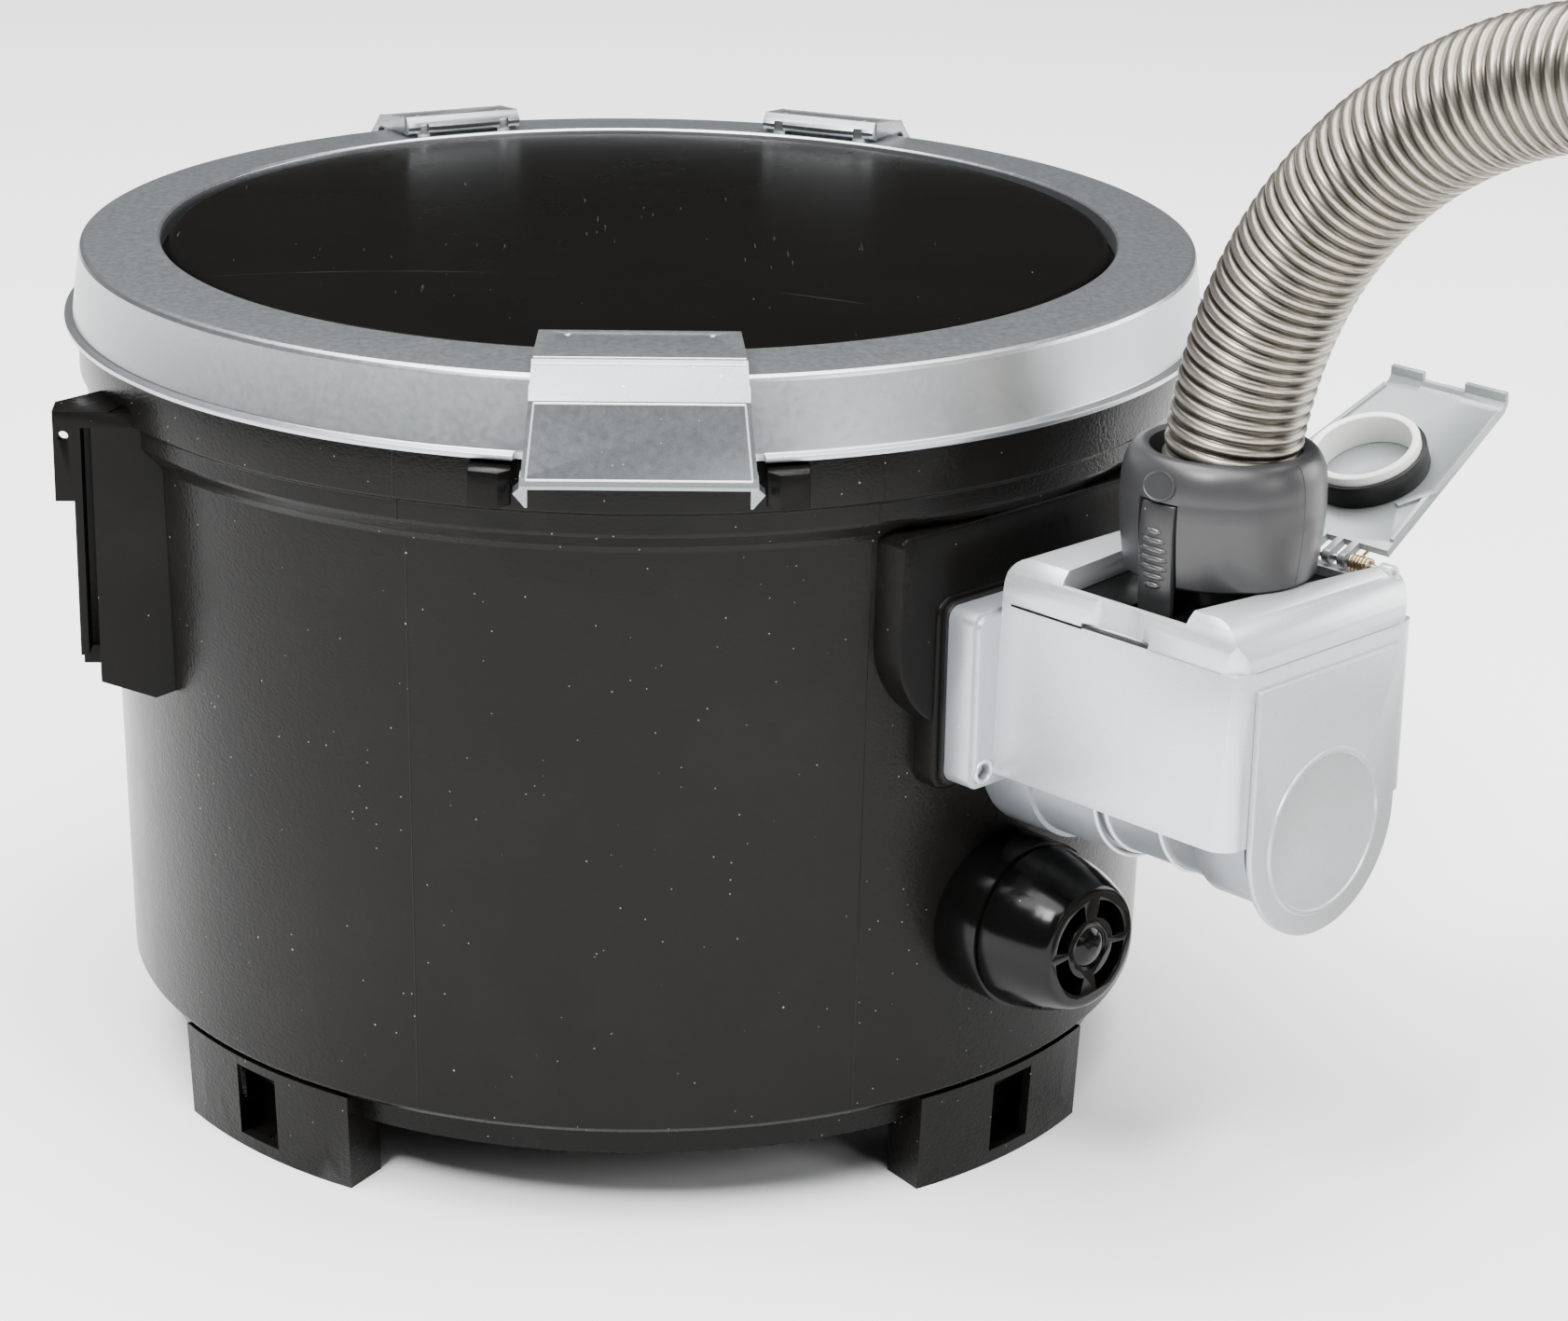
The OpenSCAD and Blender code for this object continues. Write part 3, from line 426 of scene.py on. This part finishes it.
def tube_along(points, radius, sides=12, caps=True):
    """A tube along points; radius is a number or a list. Frames turn as little as they can."""
    pts = [Vector(p) for p in points]
    n = len(pts)
    rs = radius if isinstance(radius, (list, tuple)) else [radius] * n
    t0 = (pts[1] - pts[0]).normalized()
    side = t0.orthogonal().normalized()
    verts, faces, last = [], [], t0
    for i, p in enumerate(pts):
        t = (pts[min(i + 1, n - 1)] - pts[max(i - 1, 0)]).normalized()
        side = last.rotation_difference(t) @ side
        side = (side - t * side.dot(t)).normalized()
        last, other = t, t.cross(side)
        for k in range(sides):
            a = 2 * math.pi * k / sides
            verts.append(tuple(p + rs[i] * (cos(a) * side + sin(a) * other)))
    for i in range(n - 1):
        for k in range(sides):
            l = (k + 1) % sides
            faces.append((i * sides + k, i * sides + l, (i + 1) * sides + l, (i + 1) * sides + k))
    if caps:
        faces.append(tuple(range(sides)))
        faces.append(tuple((n - 1) * sides + k for k in reversed(range(sides))))
    return verts, faces


def join(*parts):
    verts, faces = [], []
    for v, f in parts:
        o = len(verts)
        verts += v
        faces += [tuple(i + o for i in q) for q in f]
    return verts, faces


def moved(part, m):
    v, f = part
    return [tuple(m @ Vector(p)) for p in v], f


# ---------------------------------------------------------------- the hose

def bezier(p, t):
    return (1 - t) ** 3 * p[0] + 3 * (1 - t) ** 2 * t * p[1] + 3 * (1 - t) * t * t * p[2] + t ** 3 * p[3]


def hose_route():
    V = Vector
    top, mid = V((250.9, -250.1, 356.5)), V((344, -424, 193))
    over, down = V((0.655, -0.755, 0)), V((0.18, -0.11, -1)).normalized()
    cx, cy, r0, pitch = COIL_X, COIL_Y, 239, 38.5
    land = V((cx, cy - r0, 20))
    spans = [[V((160.9, -154.8, 208.6)), V((159.2, -150, 305)), top - 64 * over, top],
             [top, top + 102 * over, mid - 102 * down, mid],
             [mid, mid + 115 * down, land - V((115, 0, 0)), land]]
    pts = [spans[0][0]] + [bezier(s, i / 60) for s in spans for i in range(1, 61)]
    ease = lambda a, lo, hi: (lambda t: t * t * (3 - 2 * t))(max(0, min(1, (a - lo) / (hi - lo))))
    rise = math.sqrt(38.2 ** 2 - (pitch / 2) ** 2)
    for i in range(1, 656):
        a = -90 + 2 * i
        r = r0 - pitch * ease(a, 230, 270) - pitch * ease(a, 590, 630)
        t = max(0, min(1, (a - 900) / 50))
        r += pitch / 2 * t * t
        z = 20 + rise * (1 - (1 - t) ** 2) + 5.5 * math.exp(-((a - 971) / 13) ** 2) + 4 * ease(a, 1185, 1220)
        pts.append(V((cx + r * cos(rad(a)), cy + r * sin(rad(a)), z)))
    return pts


def resample(pts, step):
    out, left = [pts[0]], step
    for a, b in zip(pts, pts[1:]):
        d = (b - a).length
        while d >= left:
            a = a.lerp(b, left / d)
            out.append(a)
            d -= left
            left = step
        left -= d
    return out


def make_hose():
    route = hose_route()
    pitch, per = 4.3, 6
    line = resample(route, pitch / per)
    rib = [16.9, 18.15, 18.85, 18.97, 18.85, 18.15]
    radii = [rib[i % per] for i in range(len(line))]
    v, f = tube_along(line, radii, sides=32)
    hose = build("hose", v, f, "hose", "canister", "hose_champagne", ("hose_run", "hose_coil"), angle=179, merge=1e-5)
    # painted shade: faces down in the corrugation grooves take the near-black groove copy and the flanks the darker
    # flank copy, standing for the shade between the ribs
    hose.data.materials.append(M["flank_shade"])
    hose.data.materials.append(M["groove"])
    for poly in hose.data.polygons:
        poly.material_index = (2, 1, 0, 0, 1, 2)[min(poly.vertices) // 32 % per]
    # cuff on the free end, in line with the last turn
    end = (Matrix.Translation((COIL_X, COIL_Y, 0)) @ turn_z(140) @ shift(181.25, 0, 57)
           @ Matrix.Rotation(rad(-87), 4, "X"))
    prof = rounded([(18.6, -1.9), (20.8, -1.9), (22.4, 2), (22.4, 16), (21.9, 17), (21.9, 18), (22.4, 19), (22.4, 60),
                    (18.5, 64), (17.9, 65), (17.1, 88), (14.2, 88), (14.2, 6), (18.6, 3)],
                   {1: 1, 2: 2, 3: .5, 4: .3, 5: .3, 6: .5, 7: 1.5, 8: 1, 9: 1, 10: .8, 11: .8}, 4)
    parts = [lathe(prof, 96)]
    for k in range(24):
        a = 15 * k
        parts.append(moved(prism(rounded([(-1, 24), (1, 24), (1, 56), (-1, 56)], 0.9, 4), -0.4, 0.35, "y"),
                           turn_z(a) @ shift(0, -22.1, 0)))
    cuff = build("hose_end", *join(*parts), "cuff", "canister", "cuff_grey", "hose_end_cuff", place=end, bevel=0)
    # straps round the turns
    straps = []
    low_l, low_r, top = Vector((162, 20)), Vector((239, 20)), Vector((181.25, 20 + math.sqrt(38.2 ** 2 - 19.25 ** 2)))
    la = math.degrees(math.atan2(top.y - low_l.y, top.x - low_l.x)) + 90
    rb = 90 - math.degrees(math.atan2(top.y - low_r.y, low_r.x - top.x))
    def arc(c, s, e, r):
        return [(c.x + r * cos(rad(s + (e - s) * k / 14)), c.y + r * sin(rad(s + (e - s) * k / 14))) for k in range(15)]
    def outline(r):
        return arc(low_r, -90, rb, r) + arc(top, rb, la, r) + arc(low_l, la, 270, r)
    for a in (20, 300):
        inner, outer = outline(19.15), outline(19.95)
        n = len(inner)
        v = [(x, y, z) for y in (-7, 7) for x, z in inner] + [(x, y, z) for y in (-7, 7) for x, z in outer]
        f = []
        for i in range(n):
            j = (i + 1) % n
            f += [(i, j, n + j, n + i), (2 * n + i, 3 * n + i, 3 * n + j, 2 * n + j),
                  (i, 2 * n + i, 2 * n + j, j), (n + i, n + j, 3 * n + j, 3 * n + i)]
        straps.append(moved((v, f), shift(COIL_X, COIL_Y, 0) @ turn_z(a)))
    tie = build("hose_straps", *join(*straps), "strap", "canister", "strap_black", "hose_ties", bevel=0.2)


make_hose()


# ---------------------------------------------------------------- drum and base

def make_drum():
    prof = rounded([(0, 30), (158.8, 30), (160.8, 32), (164, 207), (165, 209), (168.4, 212.6), (169, 213.8),
                    (169, 219), (171, 220.2), (171, 234.3), (166.4, 234.3), (166.4, 245.7), (163.2, 245.7),
                    (163.2, 236), (161, 207), (157.8, 33), (0, 33)],
                   {1: 1.5, 2: 1.5, 3: 1.2, 4: 1.5, 5: 1.5, 6: .8, 7: .6, 8: .8, 9: .5, 11: .4, 12: .4, 13: 2,
                    15: 4}, 4)
    build("drum", *lathe(prof, 320), "drum", "canister", "drum_plastic", "drum_shell", angle=35)
    parts = []
    for az, half in ((0, 27.1), (156, 20), (-156, 20)):
        for s in (-1, 1):
            x0 = half + 7.1
            o = [(x0, -165), (x0, -175.5), (x0 + 3.5, -179), (x0 + 11.6, -176.5), (x0 + 11.6, -165)]
            o = [(s * x, y) for x, y in (o if s > 0 else o[::-1])]
            parts.append(moved(prism(o, 223.9, 233.8), turn_z(az)))
    build("drum_lugs", *join(*parts), "bracket", "canister", "drum_plastic", bevel=0.45)
    pad = rounded([(-65, 148), (65, 148), (65, 209), (-65, 209)], {0: 30, 1: 30, 2: 3, 3: 3}, 10)
    pad2 = rounded([(-51, 131), (51, 131), (51, 189), (-51, 189)], 6, 6)
    build("drum_pads", *join(prism(pad, 140, 165, "x"), prism(pad2, 140, 166, "x")), "bracket", "canister",
          "drum_plastic", place=INLET, bevel=1.0, seg=3)
    # mould lines down the wall and round the rim
    lines = []
    for az in (23, -23, 157, -157):
        wall = [(-0.22, 159.5), (0.22, 159.5), (0.22, 164.13), (0, 164.22), (-0.22, 164.13)]
        for z0, z1, r in ((32, 206, None), (213.5, 219.2, 169.12), (220.5, 234, 171)):
            v, f = prism([(x, -y) for x, y in wall], z0, z1)
            out = []
            for x, y, z in v:
                edge = (160.8 + 3.2 * (z - 32) / 175) if r is None else r
                out.append((x, -(edge + (-y - 164.1)), z))
            lines.append(moved((out, f), turn_z(az)))
    build("drum_mould_lines", *join(*lines), "drum", "canister", "drum_plastic")


make_drum()
soften("base_ring", "base", "canister", bevel=0.5)


# ---------------------------------------------------------------- clamp ring and lid

def make_ring():
    prof = rounded([(145.7, 252.6), (145.7, 258.4), (146.4, 259.1), (168.4, 257.9), (169.5, 257.3), (170, 256.2),
                    (172.5, 236.9), (175, 236.5), (175, 235), (170.8, 235), (170.5, 236.8), (168.3, 254.8),
                    (167.2, 255.7), (147.7, 256.9), (147.7, 252.6)],
                   {1: .4, 2: .6, 3: .4, 4: .6, 5: .6, 6: .6, 7: .25, 8: .25, 9: .2}, 4)
    notch = [(0, 33.7), (156, 26.6), (-156, 26.6)]
    half = [(c, math.degrees(math.asin(w / 174))) for c, w in notch]

    def warp(a, r, z):
        a = (a + 180) % 360 - 180
        if r > 172.6 and any(abs((a - c + 180) % 360 - 180) < h for c, h in half):
            return 172.6, z
        return r, z
    marks = sorted({round(x % 360, 4) for c, h in half for x in (c - h - .02, c - h + .02, c + h - .02, c + h + .02)}
                   | {round(i * 360 / 300, 4) for i in range(300)})
    m, verts, faces = len(prof), [], []
    for a in marks:
        for r, z in prof:
            rr, zz = warp(a, r, z)
            verts.append((rr * sin(rad(a)), -rr * cos(rad(a)), zz))
    for i in range(len(marks)):
        j = (i + 1) % len(marks)
        faces += [(i * m + k, j * m + k, j * m + (k + 1) % m, i * m + (k + 1) % m) for k in range(m)]
    build("ring", verts, faces, "ring", "lid", "ring_silver", "clamp_ring", angle=40)
    ear = [(2.1 * cos(rad(t)), 262.4 + 2.1 * sin(rad(t))) for t in range(0, 181, 15)] + [(-2.1, 257.5), (2.1, 257.5)]
    ears = []
    for az, h in ((0, 27.1), (156, 20), (-156, 20)):
        for s in (-1, 1):
            x = s * h * 0.72
            ears.append(moved(prism([(y - 149.6, z) for y, z in ear], x - 2.2, x + 2.2, "x"), turn_z(az)))
    build("ring_ears", *join(*ears), "ring", "lid", "ring_silver", bevel=0.3)


make_ring()


def make_lid():
    prof = rounded([(0, 255), (140.4, 255), (140.4, 249.5), (167.6, 249.5), (167.6, 252.4), (143.4, 252.4),
                    (143.4, 256.2), (142.8, 257.4), (141.6, 258), (0, 258)], {3: .4, 4: .4, 6: .5, 7: .6, 8: 1.2}, 4)
    build("lid", *lathe(prof, 288), "lid", "lid", "lid_gloss", "lid_panel", angle=35)


make_lid()


def bead(points, r=0.32, sides=8):
    return tube_along([Vector(p) for p in points], r, sides)


def make_latches():
    for node, body, az, half in (("latch_front", "front_latch", 0, 27.1),
                                 ("latch_back_left", "back_left_latch", -156, 20),
                                 ("latch_back_right", "back_right_latch", 156, 20)):
        def lean(co, az=az):
            p = turn_z(-az) @ co
            if -p.y < 0.1476 and p.z > 0.2626:
                p.y -= 0.68 * (p.z - 0.2624)
            return turn_z(az) @ p
        soften(node, "latch", body, bevel=0.6, seg=3, angle=20, reshape=lean)
        # raised lines round the lower panel and a pair along the first crease, in a far lighter silver: painted
        # highlights for light caught on the latch's bevels and creases
        a, b = half + 0.9, half + 3.0
        top_y, top_z, low_y, low_z = -178.95, 253.2, -183.3, 233.3
        parts = [bead([(-b, low_y, low_z), (-a, top_y, top_z)]), bead([(b, low_y, low_z), (a, top_y, top_z)]),
                 bead([(-a, top_y, top_z), (a, top_y, top_z)]), bead([(-b, low_y, low_z), (b, low_y, low_z)]),
                 bead([(-half - 1.2, -168.9, 263.05), (half + 1.2, -168.9, 263.05)], 0.26),
                 bead([(-half - 1.3, -171.0, 261.85), (half + 1.3, -171.0, 261.85)], 0.26)]
        build("highlight_lines_" + node, *moved(join(*parts), turn_z(az)), "latch_line", body, "latch_silver", angle=80)


make_latches()

# ---------------------------------------------------------------- brackets, inlet box, valve

for n in ("hang_bracket_left", "hang_bracket_right"):
    soften(n, "bracket", "canister", bevel=0.5)
soften("inlet_base", "mount", "canister", bevel=0.6)
soften("inlet_housing", "box", "canister", bevel=0.5)
soften("inlet_cap", "box", "canister", bevel=0.4)
soften("front_plate", "plate", "canister", bevel=0.4)
soften("inlet_pipe", "pipe", "canister", bevel=0.5)
soften("insert_plate", "insert", "canister", bevel=0.4)
soften("flap_lid", "flap", "flap", bevel=0.3)
soften("flap_seal_ring", "white", "flap", bevel=0.5, seg=3)
soften("flap_seal_boot", "rubber", "flap", bevel=0.5, seg=3)


def make_box_details():
    # painted shade: a black slab, bead and lens sit where the cap meets the housing and in its finger notch, standing
    # for the shade in the gap
    z = 188.5
    o = rounded([(178.3, -37.75), (262.75, -37.75), (262.75, 37.75), (178.3, 37.75)], 6.7, 8)
    seam_shade_bead = bead([(178.6, -31, z), (178.8, -35.2, z), (181.5, -37.9, z), (185, -38, z), (207.4, -38, z)], 0.36)
    lens = [(219.5 + 29.1 * cos(rad(a)), -64.5 + 29.1 * sin(rad(a))) for a in range(66, 115, 4)]
    notch_shade_fill = prism([(231.4, -37.92)] + lens + [(207.6, -37.92)], 188.45, 189.2)
    build("box_seam_painted_shade", *join(prism(o, 188.2, 188.75), seam_shade_bead, notch_shade_fill), "insert", "canister", "insert_plastic", place=INLET)
    # along the front the seam is a darker silver bead, a lighter painted shade
    front_shade_bead = [bead([(231.6, -38, z), (256, -38, z), (260.9, -35.9, z), (262.95, -31, z), (262.98, 31, z)], 0.2),
            bead([(178.6, 31, z), (185, 38, z), (256, 38, z)], 0.22)]
    build("box_seam_front_painted_shade", *join(*front_shade_bead), "pipe", "canister", "box_silver", place=INLET, angle=80)
    parts = []
    for u, r in ((203.6, 25.3), (206.0, 23.4), (226.0, 23.45)):
        ring = [(u, r * cos(rad(a)), 136.5 + r * sin(rad(a))) for a in range(0, 361, 5)]
        parts.append(tube_along(ring, 0.75, 8, caps=False))
    build("pipe_beads", *join(*parts), "box", "canister", "pipe_silver", place=INLET, angle=80)
    parts = []
    for y in (-43.2, 43.2):
        ring = [(178.0, y + 3.1 * cos(rad(a)), 139.4 + 3.1 * sin(rad(a))) for a in range(0, 361, 15)]
        parts.append(tube_along(ring, 0.55, 8, caps=False))
    build("base_bosses", *join(*parts), "box", "canister", "box_silver", place=INLET, angle=80)


make_box_details()


def make_cuff():
    b = 201.7
    socket = INLET @ shift(222.2, 1.4, 0)
    shoulder = [(22.3 + 5.95 * cos(rad(t)) ** 0.85, b + 24.2 + 11.1 * sin(rad(t)) ** 0.95) for t in range(6, 91, 6)]
    prof = rounded([(17.2, b), (25.8, b), (26.6, b + .8), (27.7, b + 9), (28.3, b + 16), (28.4, b + 20), (28.3, b + 24),
                    (28.25, b + 24.2)] + shoulder + [(21, b + 34.6), (21, b + 5), (17.2, b + 5)],
                   {1: .6, 2: .6, 3: 6, 4: 6, 5: 3}, 5)
    half = math.degrees(math.asin(6.5 / 27.5))
    marks = sorted({round(x % 360, 4) for h in (-half, half) for x in (h - .03, h + .03)}
                   | {round(i * 2.5, 4) for i in range(144)})
    m, verts, faces = len(prof), [], []
    for a in marks:
        inside = abs((a + 180) % 360 - 180) < half
        for r, z in prof:
            if inside and r > 23.9 and z < b + 24.1:
                r = 23.9
            verts.append((r * sin(rad(a)), -r * cos(rad(a)), z))
    for i in range(len(marks)):
        j = (i + 1) % len(marks)
        faces += [(i * m + k, j * m + k, j * m + (k + 1) % m, i * m + (k + 1) % m) for k in range(m)]
    parts = [(verts, faces)]
    wall = [(25.85, b + .2), (26.62, b + .9), (27.68, b + 9), (28.27, b + 16), (28.38, b + 20),
            (28.3, b + 24)] + shoulder[:-2]
    for a in (90, -90, 180):
        parts.append(moved(tube_along([(0, -r, z) for r, z in wall], 0.12, 6), turn_z(a)))
    # plain oval badge on the shoulder
    oval = [(5.2 * cos(rad(a)), 3.9 * sin(rad(a)), 0.0) for a in range(0, 361, 12)]
    badge = shift(0, -27.8, b + 28.4) @ Matrix.Rotation(rad(90 - 17), 4, "X")
    parts.append(moved(tube_along(oval, 0.38, 6, caps=False), badge))
    parts.append(moved(prism([(4.9 * cos(rad(a)), 3.6 * sin(rad(a))) for a in range(0, 360, 12)], -1.2, 0.12), badge))
    build("cuff", *join(*parts), "cuff", "canister", "cuff_grey", "hose_cuff", place=socket, angle=40)
    # tongue with a lozenge of ribs
    out = [(26.3, 190.2), (28.2, 190.2), (28.5, b), (29.1, b + 9), (29.1, b + 17), (28.5, b + 22), (28.0, b + 23.6),
           (26.3, b + 23.6)]
    rows = []
    for i in range(9):
        x = -5.8 + 11.6 * i / 8
        drop = 28 - math.sqrt(28 * 28 - x * x)
        edge = 0.35 if i in (0, 8) else 0
        rows.append([(x, -(r - drop - (edge if r > 27 else 0)), z) for r, z in out])
    m = len(out)
    verts = [p for row in rows for p in row]
    faces = [(i * m + k, (i + 1) * m + k, (i + 1) * m + (k + 1) % m, i * m + (k + 1) % m)
             for i in range(8) for k in range(m)]
    faces += [tuple(range(m)), tuple(8 * m + k for k in reversed(range(m)))]
    build("tongue", verts, faces, "tongue", "hose_release", "button_grey", "release_button", place=socket, bevel=0.35)
    # the ribs take the lighter rib grey, a painted highlight that makes them stand out from the tongue
    ribs = []
    for k, w in enumerate((2.8, 4.1, 4.8, 4.9, 4.7, 4.0, 2.6)):
        z = 202.4 + 2.55 * k
        r = 28.55 + 0.55 * min(1, max(0, (z - b) / 9))
        pts = [(x, -(r - (28 - math.sqrt(28 * 28 - x * x))), z) for x in (-w, -w * .6, 0, w * .6, w)]
        ribs.append(tube_along(pts, [0.3, 0.9, 1.0, 0.9, 0.3], 12))
    build("tongue_ribs", *join(*ribs), "rib", "hose_release", "button_grey", place=socket, angle=80)


make_cuff()
soften("valve_seat", "valve", "canister", bevel=0.4)
soften("valve_cap", "valve", "valve_knob", bevel=0.4)

for node, mat in (("base_screws", "zinc"), ("lid_seal", "rubber"), ("latch_pins", "steel"), ("inlet_gasket", "rubber"),
                  ("inlet_screws", "zinc"), ("inlet_deflector", "inner"),
                  ("contact_pins", "brass"), ("flap_pin", "steel"), ("flap_spring", "brass"), ("hose_nozzle", "cuff"),
                  ("valve_plunger", "poppet"), ("valve_spring", "steel"), ("outlet_spigot", "inner"),
                  ("outlet_nut", "inner"), ("filter_cage", "cage"), ("filter_sleeve", "foam")):
    for s in NODES[node].material_slots:
        s.material = M[mat]


# ---------------------------------------------------------------- floor and lights

def make_floor():
    me = bpy.data.meshes.new("floor")
    bm = bmesh.new()
    bmesh.ops.create_grid(bm, x_segments=8, y_segments=8, size=6)
    bm.to_mesh(me)
    bm.free()
    ob = bpy.data.objects.new("floor", me)
    bpy.context.scene.collection.objects.link(ob)
    m = Mat("floor_pale", 0.9, spec=0.1)
    m.color(m.mix(m.noise(2, 2), (0.88, 0.88, 0.88), (0.91, 0.91, 0.91)))
    me.materials.append(m.m)


def area(name, at, aim, sx, sy, power):
    d = bpy.data.lights.new(name, "AREA")
    d.shape, d.size, d.size_y, d.energy = "RECTANGLE", sx, sy, power
    ob = bpy.data.objects.new(name, d)
    ob.location = at
    ob.rotation_mode = "QUATERNION"
    ob.rotation_quaternion = (Vector(aim) - Vector(at)).to_track_quat("-Z", "Y")
    bpy.context.scene.collection.objects.link(ob)


make_floor()
world = bpy.data.worlds.new("studio")
bpy.context.scene.world = world
world.use_nodes = True
world.node_tree.nodes["Background"].inputs[0].default_value = (0.92, 0.96, 1, 1)
world.node_tree.nodes["Background"].inputs[1].default_value = 0.06
area("top", (-0.1, -0.3, 3.2), (0, 0, 0), 4.0, 4.0, 560)
area("key", (-0.95, -1.7, 2.3), (0, -0.05, 0.15), 0.7, 0.7, 95)
area("right", (1.5, 0.35, 0.55), (0.1, 0, 0.2), 0.8, 0.7, 14)
area("fill", (1.3, -1.3, 0.9), (0.1, -0.1, 0.15), 0.9, 0.7, 16)
